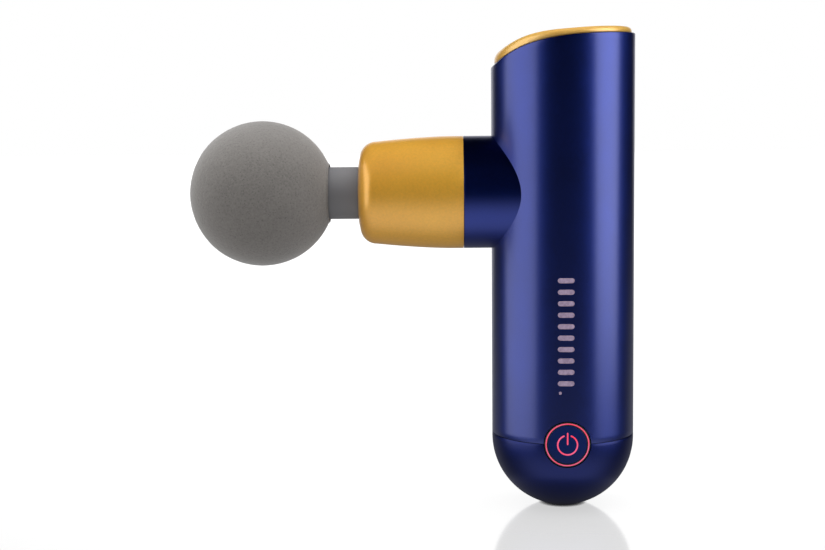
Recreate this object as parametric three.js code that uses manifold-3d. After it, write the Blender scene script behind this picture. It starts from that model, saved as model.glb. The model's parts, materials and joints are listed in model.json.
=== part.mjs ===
// A mini massage gun: a T-shaped handheld percussion massager, in millimetres, +Z up.
// The handle's axis is the Z axis, its round lower end stands on z = 0, the barrel points along -X
// and the power button faces -Y.
import * as THREE from "three";
import { mergeVertices } from "three/addons/utils/BufferGeometryUtils.js";
import Module from "manifold-3d";

const wasm = await Module();
wasm.setup();

// ---- Driving dimensions ----

const GAP = 0.3; // between neighbours that sit against each other
const LARGE = 40; // sides of a large outer piece
const MEDIUM = 24; // sides of an inner piece
const SMALL = 16; // sides of a small round piece

// Handle
const BODY_R = 23;
const TUBE_INNER_R = 21.5;
const FIT_R = TUBE_INNER_R - GAP; // of what fits inside the tube
const SEAM_Z = 24; // lower edge of the tube
const DOME_CENTRE_Z = 22.6; // leaves a small flat under the dome
const DOME_INNER_R = 19.9;
const SPIGOT_TOP_Z = 27;
const TUBE_TOP_Z = 152.45; // at the rear, where the slanted top is highest
const TOP_SPAN = 45.9;
const TOP_BOW = 4.01; // how far the top falls as a parabola
const TOP_BROW = 6.34; // how much further it falls close to the front
const LID_FRONT_RISE = 2.8; // of the lid's top above the tube's
const LID_REAR_RISE = 2;
const LID_FALL_X = [-16, 4]; // where the rise goes from one to the other
const LID_R = 21.9;

// Barrel
const BARREL_Z = 102.2;
const BARREL_R = 18.1;
const BARREL_INNER_R = 15;
const COLLAR_END_X = -31.78;
const NOSE_START_X = COLLAR_END_X - GAP;
const NOSE_TAPER_X = -36;
const NOSE_ROUND_X = -60.2; // where the front rounding starts
const NOSE_ROUND_R = 5.15;
const NOSE_FRONT_X = -65.75;
const NOSE_HOLE_R = 8.9;
const NOSE_WALL_X = -62.2; // inside of the front wall
const GUIDE_R = 14.6;
const GUIDE_REAR_X = -24;
const GUIDE_FRONT_X = -60.8;
const BUSH_R = 11;
const BUSH_BORE_R = 8.6;

// Piston and head, at full reach
const STROKE = 7;
const PISTON_R = 8.4;
const PISTON_REAR_X = -22.5;
const PISTON_FRONT_X = -62;
const SKIRT_R = 6.9;
const SKIRT_END_X = -41;
const SOCKET_R = 6.2;
const SOCKET_END_X = -44;
const NECK_R = 8.42;
const PLUG_R = 6;
const BALL_R = 23.45;
const BALL_X = -97.1;
const CORE_R = 7;

// What the piston needs free inside the tube at the end of its stroke
const PISTON_ROOM_R = PISTON_R + 0.5;
const PISTON_ROOM_X = PISTON_REAR_X + STROKE + 1;

// Crank drive, with its axis on the Z axis
const CRANK_R = STROKE / 2;
const ROD_LENGTH = 25;
const ROD_THICK = 4;
const PIN_R = 2;
const SHAFT_R = 2;
const DISC_Z = [105.5, 110.5];
const COUNTERWEIGHT_R = 14.3;
const PLATE_Z = [112.5, 115];
const FLOOR_Z = [94.75, 96.75];
const BELL_R = 17;
const MOTOR_TOP_Z = 133;
const MOTOR_SCREW_R = 8;
const COLLAR_SCREW_Y = 12.95;

// Battery and electronics
const CELL_R = 9.2;
const CELL_LENGTH = 65;
const CELL_Z = 27.8;
const CELL_CIRCLE_R = 10.8;
const WIRE_CIRCLE_R = 18.6;
const WIRE_R = 1.2;
const BUTTON_Z = 23.65;
const BUTTON_R = 6.3;
const RING_R = 7.2;
const BUTTON_HOLE_R = 7.6;
const USB_Z = 17.5;
const USB_WIDTH = 8.9;
const USB_HEIGHT = 3.1;
const BOARD_Z = [19.4, 21];

// ---- Solids ----

// A closed geometry as a manifold solid. Triangles that vanish at a pole are dropped.
function toSolid(geometry) {
  const bare = geometry.clone();
  bare.deleteAttribute("normal");
  bare.deleteAttribute("uv");
  const merged = mergeVertices(bare, 1e-4);
  const index = merged.index.array;
  const triangles = [];
  for (let i = 0; i < index.length; i += 3) {
    const [a, b, c] = [index[i], index[i + 1], index[i + 2]];
    if (a !== b && b !== c && c !== a) triangles.push(a, b, c);
  }
  const build = (triVerts) =>
    new wasm.Manifold(
      new wasm.Mesh({
        numProp: 3,
        vertProperties: merged.attributes.position.array,
        triVerts: new Uint32Array(triVerts),
      }),
    );
  const solid = build(triangles);
  return solid.volume() < 0 ? build(triangles.reverse()) : solid;
}

function toGeometry(solid) {
  const mesh = solid.getMesh();
  const geometry = new THREE.BufferGeometry();
  geometry.setAttribute("position", new THREE.BufferAttribute(new Float32Array(mesh.vertProperties), 3));
  geometry.setIndex(new THREE.BufferAttribute(new Uint32Array(mesh.triVerts), 1));
  geometry.computeVertexNormals();
  return geometry;
}

const union = (...solids) => solids.reduce((joined, solid) => joined.add(solid));
const cut = (solid, ...tools) => tools.reduce((left, tool) => left.subtract(tool), solid);

// A profile of [radius, height along the axis] pairs turned about the X, Y or Z axis through `at`.
function turned(profile, axis = "z", at = [0, 0, 0], sides = LARGE) {
  const points = profile.map(([r, h]) => new THREE.Vector2(r, h));
  if (points[0].x > 0 || points.at(-1).x > 0) points.push(points[0].clone());
  const geometry = new THREE.LatheGeometry(points, sides);
  if (axis === "z") geometry.rotateX(Math.PI / 2);
  if (axis === "x") geometry.rotateZ(-Math.PI / 2);
  return toSolid(geometry.translate(...at));
}

// A round bar or a ring between two heights on its axis.
function bar(r, [from, to], axis, at, sides) {
  return turned([[0, from], [r, from], [r, to], [0, to]], axis, at, sides);
}

function ring(outer, inner, [from, to], axis, at, sides) {
  return turned([[inner, from], [outer, from], [outer, to], [inner, to]], axis, at, sides);
}

function block([x0, x1], [y0, y1], [z0, z1]) {
  const geometry = new THREE.BoxGeometry(x1 - x0, y1 - y0, z1 - z0);
  return toSolid(geometry.translate((x0 + x1) / 2, (y0 + y1) / 2, (z0 + z1) / 2));
}

// An outline in X and Z, extruded to both sides of the middle plane.
function slab(points, halfWidth) {
  const shape = new THREE.Shape(points.map(([x, z]) => new THREE.Vector2(x, z)));
  const geometry = new THREE.ExtrudeGeometry(shape, { depth: 2 * halfWidth, bevelEnabled: false });
  return toSolid(geometry.rotateX(Math.PI / 2).translate(0, halfWidth, 0));
}

// An outline in X and Y, extruded between two heights.
function plate(shape, [from, to], curveSegments = 12) {
  const settings = { depth: to - from, bevelEnabled: false, curveSegments };
  return toSolid(new THREE.ExtrudeGeometry(shape, settings).translate(0, 0, from));
}

function turnedAboutZ(geometrySolid, angle) {
  return toSolid(toGeometry(geometrySolid).rotateZ(angle));
}

// Points of an arc of radius r about [x, y], both ends included, with angles in degrees.
function arc(x, y, r, from, to, steps) {
  return Array.from({ length: steps + 1 }, (_, i) => {
    const angle = THREE.MathUtils.degToRad(from + ((to - from) * i) / steps);
    return [x + r * Math.cos(angle), y + r * Math.sin(angle)];
  });
}

const polar = (r, degrees) => {
  const angle = THREE.MathUtils.degToRad(degrees);
  return [r * Math.cos(angle), r * Math.sin(angle)];
};

// A screw with a flat head between the two `head` heights.
function screw(headR, shankR, head, shankEnd, axis, at) {
  const inner = head[1];
  return turned([[0, head[0]], [headR, head[0]], [headR, inner], [shankR, inner], [shankR, shankEnd],
    [0, shankEnd]], axis, at, 12);
}

// ---- Handle shells ----

// Height of the tube's slanted top at x: a shallow bow that falls steeply close to the front.
function topAt(x) {
  const t = (BODY_R - THREE.MathUtils.clamp(x, -BODY_R, BODY_R)) / TOP_SPAN;
  return TUBE_TOP_Z - TOP_BOW * t ** 2 - TOP_BROW * t ** 6;
}

// Everything above or below the slanted top moved up by `offset`.
function besideTop(offsetAt, limitZ) {
  const steps = 16;
  const reach = BODY_R + 3;
  const edgeAt = (x) => topAt(x) + offsetAt(x);
  const points = [[-reach, edgeAt(-reach)]];
  for (let i = 0; i <= steps; i++) {
    const x = -BODY_R + (2 * BODY_R * i) / steps;
    points.push([x, edgeAt(x)]);
  }
  points.push([reach, edgeAt(reach)], [reach, limitZ], [-reach, limitZ]);
  return slab(points, reach);
}

// The handle's outer form, shrunk by `inset`.
function handleForm(inset) {
  const r = BODY_R - inset;
  return turned([[0, DOME_CENTRE_Z - r], ...arc(0, DOME_CENTRE_Z, r, -90, 0, 10).slice(1), [r, 160], [0, 160]]);
}

const buttonHole = bar(BUTTON_HOLE_R, [-30, -12], "y", [0, 0, BUTTON_Z], MEDIUM);
const wirePlaces = [polar(WIRE_CIRCLE_R, 30), polar(WIRE_CIRCLE_R, 150)];
const wireHoles = (range) =>
  wirePlaces.map(([x, y]) => bar(WIRE_R + GAP, range, "z", [x, y, 0], SMALL));
const collarScrewPlaces = [[0, COLLAR_SCREW_Y, BARREL_Z], [0, -COLLAR_SCREW_Y, BARREL_Z]];
const collarScrewHoles = collarScrewPlaces.map((at) => bar(1.4, [-32, -10], "x", at, SMALL));

function bodyTube() {
  const tube = ring(BODY_R, TUBE_INNER_R, [SEAM_Z, 158], "z");
  const pistonHole = bar(PISTON_R + 4 * GAP, [-30, 0], "x", [0, 0, BARREL_Z], MEDIUM);
  return cut(tube, besideTop(() => 0, 170), pistonHole, buttonHole, ...collarScrewHoles);
}

// A rounded slot through the dome's rear wall, as wide as the socket plus a margin.
function usbSlot(width, height, [from, to]) {
  const r = height / 2;
  const half = width / 2 - r;
  const ends = [-half, half].map((y) => bar(r, [from, to], "x", [0, y, USB_Z], SMALL));
  return union(...ends, block([from, to], [-half, half], [USB_Z - r, USB_Z + r]));
}

const boardPosts = [[-9, 9], [9, 9]];

function domeCap() {
  const flatR = Math.sqrt(BODY_R ** 2 - DOME_CENTRE_Z ** 2);
  const flatAngle = -90 + THREE.MathUtils.radToDeg(Math.asin(flatR / BODY_R));
  const shell = turned([
    [0, 0],
    [flatR, 0],
    ...arc(0, DOME_CENTRE_Z, BODY_R, flatAngle, 0, 8).slice(1),
    [BODY_R, SEAM_Z - GAP],
    [FIT_R, SEAM_Z - GAP],
    [FIT_R, SPIGOT_TOP_Z],
    [DOME_INNER_R, SPIGOT_TOP_Z],
    ...arc(0, DOME_CENTRE_Z, DOME_INNER_R, 0, -90, 5),
  ]);
  const posts = boardPosts.map(([x, y]) =>
    ring(2.2, 1.1, [6.5, BOARD_Z[0] - GAP], "z", [x, y, 0], SMALL));
  const port = usbSlot(USB_WIDTH + 2 * GAP, USB_HEIGHT + 2 * GAP, [15, 30]);
  return cut(union(shell, ...posts), buttonHole, port);
}

// The lid follows the slanted top a little above it and plugs into the tube.
function lidRise(x) {
  const rearward = THREE.MathUtils.smoothstep(x, ...LID_FALL_X);
  return THREE.MathUtils.lerp(LID_FRONT_RISE, LID_REAR_RISE, rearward);
}

function topLid() {
  const cover = bar(LID_R, [130, 165], "z").intersect(besideTop(lidRise, 120)).intersect(besideTop(() => GAP, 170));
  const plug = ring(FIT_R, FIT_R - 1.8, [130, 165], "z");
  const collar = plug.intersect(besideTop(() => LID_REAR_RISE / 2, 120)).intersect(besideTop(() => -4, 170));
  return union(cover, collar);
}

// ---- Barrel ----

const handleBore = (r) => bar(r, [60, 150], "z");

function barrelCollar() {
  const sleeve = ring(BARREL_R, BARREL_INNER_R, [COLLAR_END_X, -8], "x", [0, 0, BARREL_Z]);
  return cut(sleeve, handleBore(BODY_R + GAP));
}

// The nose narrows along a slow curve, then rounds over to its front face.
function noseCone() {
  const taper = (x) => BARREL_R - 0.0098 * Math.max(0, NOSE_TAPER_X - x) ** 1.6;
  const profile = [[BARREL_INNER_R, NOSE_START_X], [BARREL_R, NOSE_START_X], [BARREL_R, NOSE_TAPER_X]];
  for (let i = 1; i < 4; i++) {
    const x = NOSE_TAPER_X + ((NOSE_ROUND_X - NOSE_TAPER_X) * i) / 4;
    profile.push([taper(x), x]);
  }
  const roundY = taper(NOSE_ROUND_X) - NOSE_ROUND_R;
  profile.push(...arc(roundY, NOSE_ROUND_X, NOSE_ROUND_R, 0, -90, 5));
  profile.push([NOSE_HOLE_R + 0.3, NOSE_FRONT_X], [NOSE_HOLE_R, NOSE_FRONT_X + 0.3]);
  profile.push([NOSE_HOLE_R, NOSE_WALL_X], [BARREL_INNER_R - 1, NOSE_WALL_X], [BARREL_INNER_R, NOSE_WALL_X + 1]);
  return turned(profile, "x", [0, 0, BARREL_Z]);
}

function guideHousing() {
  const carrier = turned([
    [BUSH_R + GAP, GUIDE_FRONT_X],
    [GUIDE_R, GUIDE_FRONT_X],
    [GUIDE_R, GUIDE_REAR_X],
    [PISTON_R + 1.2, GUIDE_REAR_X],
    [PISTON_R + 1.2, GUIDE_REAR_X - 8],
    [BUSH_R + GAP, GUIDE_REAR_X - 10],
  ], "x", [0, 0, BARREL_Z], MEDIUM);
  return cut(carrier, ...collarScrewHoles);
}

const guideBush = () => ring(BUSH_R, BUSH_BORE_R, [-60.5, -36], "x", [0, 0, BARREL_Z], MEDIUM);
const noseSeal = () => ring(BUSH_R + 2, BUSH_BORE_R + 0.1, [-62, -61.1], "x", [0, 0, BARREL_Z], MEDIUM);

// ---- Piston and head ----

function piston() {
  return turned([
    [0, SOCKET_END_X],
    [SOCKET_R, SOCKET_END_X],
    [SOCKET_R, PISTON_FRONT_X],
    [PISTON_R, PISTON_FRONT_X],
    [PISTON_R, PISTON_REAR_X],
    [SKIRT_R, PISTON_REAR_X],
    [SKIRT_R, SKIRT_END_X],
    [0, SKIRT_END_X],
  ], "x", [0, 0, BARREL_Z], MEDIUM);
}

const O_RING_X = -55;
const NECK_END_X = -78;
const CORE_END_X = -104;

function headStem() {
  const plugEnd = SOCKET_END_X - 1;
  return turned([
    [0, plugEnd],
    [PLUG_R - 1, plugEnd],
    [PLUG_R, plugEnd - 1],
    [PLUG_R, O_RING_X + 1.1],
    [PLUG_R - 1.2, O_RING_X + 1.1],
    [PLUG_R - 1.2, O_RING_X - 1.1],
    [PLUG_R, O_RING_X - 1.1],
    [PLUG_R, PISTON_FRONT_X - GAP],
    [NECK_R, PISTON_FRONT_X - GAP],
    [NECK_R, NECK_END_X],
    [CORE_R, NECK_END_X],
    [CORE_R, CORE_END_X],
    [0, CORE_END_X],
  ], "x", [0, 0, BARREL_Z], MEDIUM);
}

const headORing = () =>
  turned(arc(PLUG_R - 0.45, O_RING_X, 0.6, 0, 300, 5), "x", [0, 0, BARREL_Z], MEDIUM);

function foamBall() {
  const mouthR = NECK_R + GAP;
  const mouthAngle = THREE.MathUtils.radToDeg(Math.asin(mouthR / BALL_R));
  return turned([
    ...arc(0, BALL_X, BALL_R, -90, 90 - mouthAngle, 14),
    [mouthR, NECK_END_X - GAP],
    [CORE_R + GAP, NECK_END_X - GAP],
    [CORE_R + GAP, CORE_END_X - GAP],
    [0, CORE_END_X - GAP],
  ], "x", [0, 0, BARREL_Z]);
}

// ---- Crank drive ----

const rodZ = [BARREL_Z - ROD_THICK / 2, BARREL_Z + ROD_THICK / 2];

function connectingRod() {
  const wristX = -CRANK_R - ROD_LENGTH;
  const bigEye = bar(7.4, rodZ, "z", [-CRANK_R, 0, 0], MEDIUM);
  const smallEye = bar(2.9, rodZ, "z", [wristX, 0, 0], SMALL);
  const shank = block([wristX, -CRANK_R - 6], [-2.2, 2.2], rodZ);
  const bearingBore = bar(5.3, [90, 110], "z", [-CRANK_R, 0, 0], MEDIUM);
  const wristBore = bar(1.75, [90, 110], "z", [wristX, 0, 0], SMALL);
  return cut(union(bigEye, smallEye, shank), bearingBore, wristBore);
}

const wristPin = () => bar(1.5, [BARREL_Z - 4.2, BARREL_Z + 4.2], "z", [-CRANK_R - ROD_LENGTH, 0, 0], SMALL);

function crankDisc() {
  const hub = bar(7, DISC_Z, "z", [0, 0, 0], MEDIUM);
  const sector = new THREE.Shape();
  sector.moveTo(0, 0);
  sector.absarc(0, 0, COUNTERWEIGHT_R, -Math.PI * 0.42, Math.PI * 0.42, false);
  const weight = plate(sector, DISC_Z);
  const shaftBore = bar(SHAFT_R + 0.2, [DISC_Z[0] + 2.4, 120], "z", [0, 0, 0], SMALL);
  const pinBore = bar(PIN_R + 0.2, [90, DISC_Z[0] + 2.1], "z", [-CRANK_R, 0, 0], SMALL);
  return cut(union(hub, weight), shaftBore, pinBore);
}

// A shoulder screw: its head keeps the connecting rod on.
const crankPin = () =>
  turned([[0, 98.4], [3.3, 98.4], [3.3, 99.8], [PIN_R, 99.8], [PIN_R, DISC_Z[0] + 1.9],
    [0, DISC_Z[0] + 1.9]], "z", [-CRANK_R, 0, 0], SMALL);

const motorScrewPlaces = [45, 135, 225, 315].map((angle) => [...polar(MOTOR_SCREW_R, angle), 0]);

const pistonRoom = () => bar(PISTON_ROOM_R, [-BODY_R, PISTON_ROOM_X], "x", [0, 0, BARREL_Z], MEDIUM);

// Two round plates joined by a cheek on each side, clear of the crank. The lower one is dished for the piston.
function driveFrame() {
  const top = ring(FIT_R, 4.9, PLATE_Z, "z", [0, 0, 0], MEDIUM);
  const floor = bar(FIT_R, FLOOR_Z, "z", [0, 0, 0], MEDIUM);
  const span = [FLOOR_Z[0], PLATE_Z[1]];
  const cheeks = [-1, 1].map((side) =>
    block([-9, 9], [17.2 * side, 20.5 * side].sort((a, b) => a - b), span).intersect(bar(FIT_R, span, "z", [0, 0, 0], MEDIUM)));
  const holes = motorScrewPlaces.map((at) => bar(1.3, [110, 118], "z", at, 12));
  return cut(union(top, floor, ...cheeks), ...holes, ...wireHoles([90, 120]), pistonRoom());
}

// The motor's foot: a flange on the frame and a sleeve that carries the stator and the upper bearing.
function motorBase() {
  const foot = turned([
    [2.6, PLATE_Z[1] + GAP],
    [10.5, PLATE_Z[1] + GAP],
    [10.5, 117.3],
    [5.6, 117.3],
    [5.6, 129.6],
    [4.7, 129.6],
    [4.7, 126.3],
    [2.6, 126.3],
  ], "z", [0, 0, 0], MEDIUM);
  return cut(foot, ...motorScrewPlaces.map((at) => bar(1.3, [110, 120], "z", at, 12)));
}

// Laminated core: a hub, nine wound teeth and their pole shoes.
function stator() {
  const teeth = 9;
  const stack = [118.5, 127.5];
  const shoe = new THREE.Shape();
  shoe.absarc(0, 0, 13.2, -0.27, 0.27, false);
  shoe.absarc(0, 0, 11.6, 0.27, -0.27, true);
  const tooth = union(
    block([7.2, 12.2], [-1.1, 1.1], stack),
    block([8.7, 11.3], [-2.1, 2.1], [stack[0] - 0.8, stack[1] + 0.8]),
    plate(shoe, stack, 2),
  );
  const hub = ring(8, 5.9, stack, "z", [0, 0, 0], MEDIUM);
  const all = Array.from({ length: teeth }, (_, i) => turnedAboutZ(tooth, (2 * Math.PI * i) / teeth));
  return union(hub, ...all);
}

const rotorBell = () =>
  turned([
    [SHAFT_R + 0.2, 130.2],
    [4, 130.2],
    [4, MOTOR_TOP_Z - 1.6],
    [BELL_R - 1.6, MOTOR_TOP_Z - 1.6],
    [BELL_R - 1.6, 117.8],
    [BELL_R, 117.8],
    [BELL_R, MOTOR_TOP_Z - 1],
    [BELL_R - 1, MOTOR_TOP_Z],
    [SHAFT_R + 0.2, MOTOR_TOP_Z],
  ], "z", [0, 0, 0], 32);
const magnetRing = () => ring(BELL_R - 1.9, 13.7, [118.2, 128.2], "z", [0, 0, 0], 32);
const motorShaft = () => bar(SHAFT_R, [DISC_Z[0] + 2.7, MOTOR_TOP_Z + 0.8], "z", [0, 0, 0], SMALL);

// A ball bearing of the given size, its shield set into the upper face.
function bearing(outer, inner, [from, to], at = [0, 0, 0]) {
  const shieldZ = to - 0.25;
  return turned([[outer, from], [outer, to], [outer - 0.5, to], [outer - 0.6, shieldZ],
    [inner + 0.6, shieldZ], [inner + 0.5, to], [inner, to], [inner, from]], "z", at, 20);
}

// ---- Battery and electronics ----

const cellPlaces = [90, 210, 330].map((angle) => polar(CELL_CIRCLE_R, angle));
const cellTopZ = CELL_Z + CELL_LENGTH;

const cell = ([x, y]) =>
  turned([
    [0, CELL_Z],
    [CELL_R - 0.4, CELL_Z],
    [CELL_R, CELL_Z + 0.4],
    [CELL_R, cellTopZ - 4],
    [CELL_R - 0.5, cellTopZ - 3.5],
    [CELL_R, cellTopZ - 3],
    [CELL_R, cellTopZ - 0.8],
    [CELL_R - 0.6, cellTopZ - 0.4],
    [3, cellTopZ - 0.4],
    [3, cellTopZ],
    [0, cellTopZ],
  ], "z", [x, y, 0], MEDIUM);

function holderLower() {
  const disc = bar(DOME_INNER_R - GAP, [25.2, 27.1], "z", [0, 0, 0], MEDIUM);
  const cellEnds = cellPlaces.map(([x, y]) => bar(3, [20, 30], "z", [x, y, 0], SMALL));
  return cut(disc, block([-30, 30], [-30, -14.8], [20, 30]), ...cellEnds, ...wireHoles([20, 30]));
}

function holderUpper() {
  const disc = bar(FIT_R, [93.5, 94.45], "z", [0, 0, 0], MEDIUM);
  const cellEnds = cellPlaces.map(([x, y]) => bar(3, [90, 98], "z", [x, y, 0], SMALL));
  return cut(disc, ...cellEnds, ...wireHoles([90, 98]), pistonRoom());
}

const stripLower = () => block([-14, 14], [-8.4, -2.4], [27.3, 27.5]);
const stripUpper = () => turnedAboutZ(block([-14, 14], [-8.4, -2.4], [93.05, 93.25]), (-2 * Math.PI) / 3);

function controlBoard() {
  const board = bar(DOME_INNER_R - 4 * GAP, BOARD_Z, "z", [0, 0, 0], MEDIUM);
  const chips = [
    block([-5, 2], [-8, -1], [BOARD_Z[1] - 0.2, 22.1]),
    block([5, 10], [-9, -4], [BOARD_Z[1] - 0.2, 22.8]),
    block([-13, -9], [-6, 0], [BOARD_Z[1] - 0.2, 22.4]),
    block([-3, 4], [12, 16.5], [BOARD_Z[1] - 0.2, 23.4]),
  ];
  const holes = boardPosts.map(([x, y]) => bar(1.1, [10, 30], "z", [x, y, 0], SMALL));
  return cut(union(board, ...chips), block([-30, 30], [-30, -14.8], [10, 30]), ...holes);
}

// USB-C socket: a rounded metal shell, open at the rear of the handle, with its tongue inside.
function usbReceptacle() {
  const shell = cut(
    usbSlot(USB_WIDTH, USB_HEIGHT, [14.2, 21.4]),
    usbSlot(USB_WIDTH - 0.6, USB_HEIGHT - 0.6, [15.4, 30]),
  );
  return union(shell, block([14.8, 20.4], [-3.3, 3.3], [USB_Z - 0.35, USB_Z + 0.35]));
}

const switchBoard = () => block([-7.2, 7.2], [-16.6, -15.4], [17, 30.5]);

function tactSwitch() {
  const body = block([-3, 3], [-19.9, -16.9], [BUTTON_Z - 3, BUTTON_Z + 3]);
  return union(body, bar(1.7, [-20.2, -19.5], "y", [0, 0, BUTTON_Z], 16));
}

// The button's face follows the handle's surface, a hair below it.
function buttonCap() {
  const face = bar(BUTTON_R, [-30, -21.1], "y", [0, 0, BUTTON_Z], MEDIUM).intersect(handleForm(0.15));
  return union(face, bar(2.4, [-21.5, -20.9], "y", [0, 0, BUTTON_Z], SMALL));
}

const buttonRing = () =>
  ring(RING_R, BUTTON_R + 0.25, [-30, -20.4], "y", [0, 0, BUTTON_Z], MEDIUM).intersect(handleForm(0.15));

// ---- Finishes: colour, roughness, metalness ----

const NAVY = [0x1b2560, 0.35, 0.8];
const GOLD = [0xc9973f, 0.35, 0.9];
const STEEL = [0xb4b7bb, 0.3, 1];
const ALUMINIUM = [0xc2c4c8, 0.4, 1];
const BRONZE = [0x9a6b3c, 0.5, 0.9];
const COPPER = [0xa5562b, 0.4, 0.9];
const DARK_PLASTIC = [0x222326, 0.6, 0];
const GREY_PLASTIC = [0x7a7c81, 0.5, 0];
const FOAM = [0x857f7a, 0.95, 0];
const RUBBER = [0x161616, 0.8, 0];
const RED_LIGHT = [0xe8455f, 0.4, 0];
const CELL_WRAP = [0x2f6f8f, 0.5, 0];
const BOARD_GREEN = [0x1f5a35, 0.5, 0.1];
const WIRE = [0x8f1f1f, 0.6, 0];

function part(name, solid, [color, roughness, metalness]) {
  const mesh = new THREE.Mesh(toGeometry(solid), new THREE.MeshStandardMaterial({ color, roughness, metalness }));
  mesh.name = name;
  return mesh;
}

const group = new THREE.Group();

const handle = new THREE.Group();
handle.add(
  part("body_tube", bodyTube(), NAVY),
  part("dome_cap", domeCap(), NAVY),
  part("top_lid", topLid(), GOLD),
);

const barrel = new THREE.Group();
barrel.add(
  part("barrel_collar", barrelCollar(), NAVY),
  part("nose_cone", noseCone(), GOLD),
  part("nose_seal", noseSeal(), RUBBER),
  part("guide_housing", guideHousing(), DARK_PLASTIC),
  part("guide_bush", guideBush(), BRONZE),
);
["left", "right"].forEach((side, i) => {
  const solid = screw(2, 1.1, [-13.5, -15.1], -30.5, "x", collarScrewPlaces[i]);
  barrel.add(part("collar_screw_" + side, solid, STEEL));
});

const head = new THREE.Group();
head.add(
  part("head_stem", headStem(), GREY_PLASTIC),
  part("head_o_ring", headORing(), RUBBER),
  part("foam_ball", foamBall(), FOAM),
);

const drive = new THREE.Group();
drive.add(
  part("drive_frame", driveFrame(), ALUMINIUM),
  part("motor_base", motorBase(), ALUMINIUM),
  part("stator", stator(), COPPER),
  part("rotor_bell", rotorBell(), STEEL),
  part("magnet_ring", magnetRing(), DARK_PLASTIC),
  part("motor_shaft", motorShaft(), STEEL),
  part("lower_bearing", bearing(4.6, 2.2, [112.7, 115]), STEEL),
  part("upper_bearing", bearing(4.4, 2.2, [126.6, 129.4]), STEEL),
  part("crank_disc", crankDisc(), STEEL),
  part("crank_pin", crankPin(), STEEL),
  part("connecting_rod", connectingRod(), ALUMINIUM),
  part("big_end_bearing", bearing(5, PIN_R + 0.2, rodZ, [-CRANK_R, 0, 0]), STEEL),
  part("wrist_pin", wristPin(), STEEL),
  part("piston", piston(), ALUMINIUM),
);
motorScrewPlaces.forEach((at, i) => {
  drive.add(part("motor_screw_" + (i + 1), screw(1.9, 1, [111, 112.2], 116.9, "z", at), STEEL));
});

const electronics = new THREE.Group();
cellPlaces.forEach((place, i) => {
  electronics.add(part("battery_cell_" + (i + 1), cell(place), CELL_WRAP));
});
electronics.add(
  part("battery_holder_lower", holderLower(), DARK_PLASTIC),
  part("battery_holder_upper", holderUpper(), DARK_PLASTIC),
  part("nickel_strip_lower", stripLower(), STEEL),
  part("nickel_strip_upper", stripUpper(), STEEL),
  part("control_board", controlBoard(), BOARD_GREEN),
  part("usb_receptacle", usbReceptacle(), STEEL),
  part("switch_board", switchBoard(), BOARD_GREEN),
  part("tact_switch", tactSwitch(), DARK_PLASTIC),
  part("button_cap", buttonCap(), NAVY),
  part("button_ring", buttonRing(), RED_LIGHT),
);
boardPosts.forEach(([x, y], i) => {
  const solid = screw(1.9, 0.8, [22.5, 21.3], 13, "z", [x, y, 0]);
  electronics.add(part("board_screw_" + (i + 1), solid, STEEL));
});
const wireNames = [["motor_cable", [23.7, 114.6]], ["battery_lead", [23.7, 93]]];
wireNames.forEach(([name, range], i) => {
  const [x, y] = wirePlaces[i];
  electronics.add(part(name, bar(WIRE_R, range, "z", [x, y, 0], 12), WIRE));
});

group.add(handle, barrel, head, drive, electronics);

export default group;
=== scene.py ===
"""A mini massage gun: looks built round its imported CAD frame. Metres, +Z up, button towards -Y."""
import json
import math

import bmesh
import bpy
import numpy as np
from mathutils import Matrix, Vector, noise


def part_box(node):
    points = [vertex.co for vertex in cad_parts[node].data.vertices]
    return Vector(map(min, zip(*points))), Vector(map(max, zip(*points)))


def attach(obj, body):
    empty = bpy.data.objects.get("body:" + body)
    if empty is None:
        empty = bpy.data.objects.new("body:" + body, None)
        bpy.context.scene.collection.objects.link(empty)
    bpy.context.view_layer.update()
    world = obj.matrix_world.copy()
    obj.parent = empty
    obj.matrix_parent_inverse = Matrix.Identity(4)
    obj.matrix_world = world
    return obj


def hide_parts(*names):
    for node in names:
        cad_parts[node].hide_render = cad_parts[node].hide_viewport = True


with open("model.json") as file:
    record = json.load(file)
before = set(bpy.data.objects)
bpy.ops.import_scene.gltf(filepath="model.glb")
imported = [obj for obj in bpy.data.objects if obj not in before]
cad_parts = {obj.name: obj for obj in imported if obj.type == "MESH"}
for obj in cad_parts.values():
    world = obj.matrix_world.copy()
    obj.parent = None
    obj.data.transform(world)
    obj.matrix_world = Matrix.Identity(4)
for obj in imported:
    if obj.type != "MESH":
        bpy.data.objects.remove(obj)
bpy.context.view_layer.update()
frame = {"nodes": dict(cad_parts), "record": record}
MM = 0.001


# ---- Sizes read from the frame ----

def span(node, axis):
    low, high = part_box(node)
    return low[axis], high[axis]


X, Y, Z = 0, 1, 2
BODY_R = span("body_tube", X)[1]
SEAM_Z = span("body_tube", Z)[0]
TUBE_TOP_Z = span("body_tube", Z)[1]
DOME_CENTRE_Z = 22.6 * MM
BARREL_Z = sum(span("nose_cone", Z)) / 2
BARREL_R = span("nose_cone", Y)[1]
NOSE_FRONT_X, NOSE_START_X = span("nose_cone", X)
BALL_R = span("foam_ball", Y)[1]
BALL_X = span("foam_ball", X)[0] + BALL_R
NECK_R = span("head_stem", Y)[1]
STEM_END_X, PLUG_END_X = span("head_stem", X)
PISTON_FRONT_X = span("piston", X)[0]
BUTTON_Z = sum(span("button_ring", Z)) / 2
LID_R = span("top_lid", X)[1]
LID_TOP_Z = span("top_lid", Z)[1]
USB_Z = sum(span("usb_receptacle", Z)) / 2
USB_HALF_WIDTH = span("usb_receptacle", Y)[1]
USB_HALF_HEIGHT = span("usb_receptacle", Z)[1] - USB_Z
USB_MOUTH_X = span("usb_receptacle", X)[1]
USB_BACK_X = span("usb_receptacle", X)[0]

# ---- Sizes that only the looks need ----

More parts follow.
